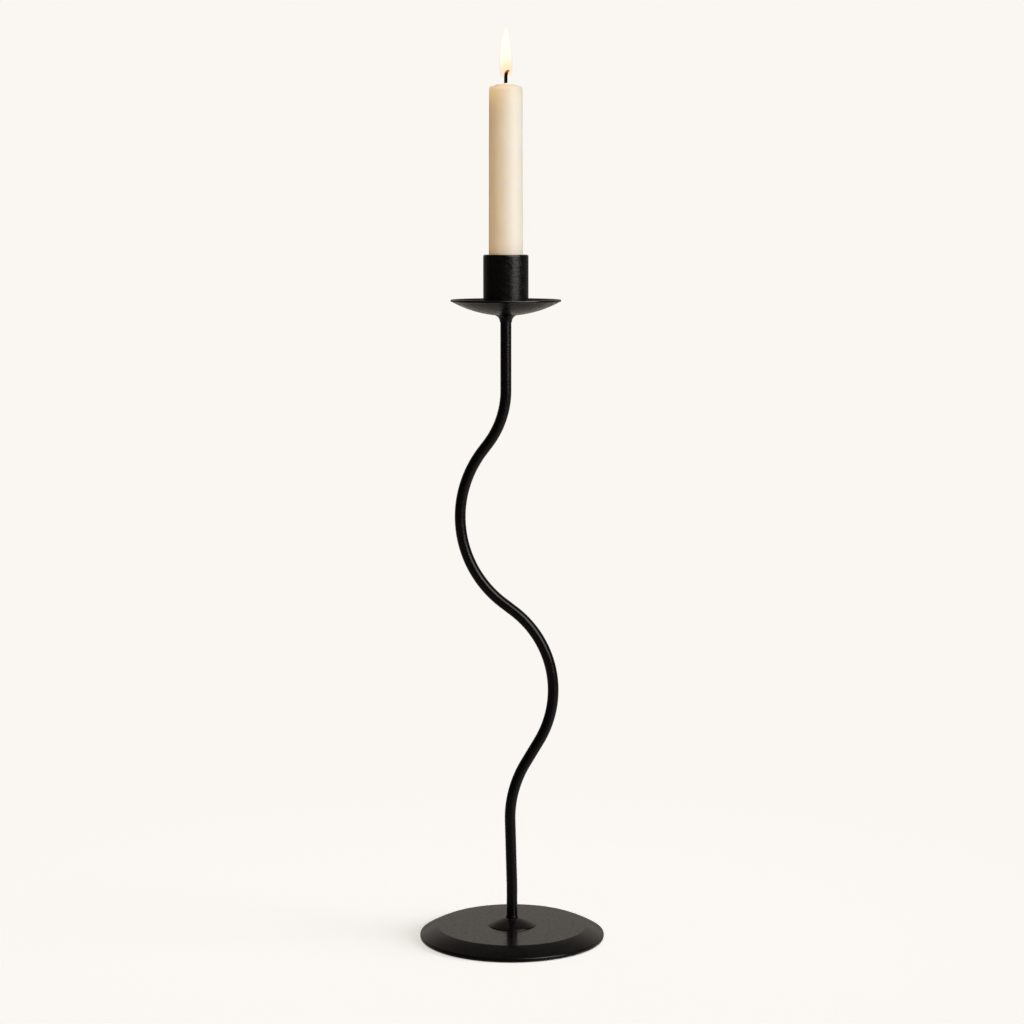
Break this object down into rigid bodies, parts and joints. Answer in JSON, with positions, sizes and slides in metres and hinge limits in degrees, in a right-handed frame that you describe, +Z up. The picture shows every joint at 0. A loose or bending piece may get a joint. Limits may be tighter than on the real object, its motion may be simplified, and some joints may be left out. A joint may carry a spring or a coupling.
{
  "type": "taper candle holder",
  "caption": "Candle holder: a wavy round rod on a heavy round base carries a shallow drip pan, a cup and a tapered candle that lifts out.",
  "frame": {"origin": "on the surface that the holder stands on, at the middle of the round base", "axes": "+Z up along the base's axis, +X to the right in the front view; the rod's bends all lie in the XZ plane, and the front is seen from -Y"},
  "size_m": [0.123, 0.123, 0.573],
  "materials": {
    "black_coat": "fine-grained satin black powder coat on steel",
    "felt": "dense dark felt",
    "zinc": "bright zinc plate on steel",
    "wax": "smooth ivory wax",
    "wick": "braided cotton, charred where it stands out of the wax"
  },
  "bodies": {
    "holder": {"base_felt": "felt", "base_plate": "black_coat", "base_washer": "zinc", "base_screw": "zinc", "foot_ring": "black_coat", "stem": "black_coat", "pan_ferrule": "black_coat", "drip_pan": "black_coat", "candle_cup": "black_coat", "cup_washer": "zinc", "cup_screw": "zinc"},
    "candle": {"candle": "wax", "wick": "wick"}
  },
  "joints": [
    {"name": "candle_lift", "type": "slide", "parent": "holder", "child": "candle", "axis": [0, 0, 1], "range_m": [0, 0.045]}
  ]
}
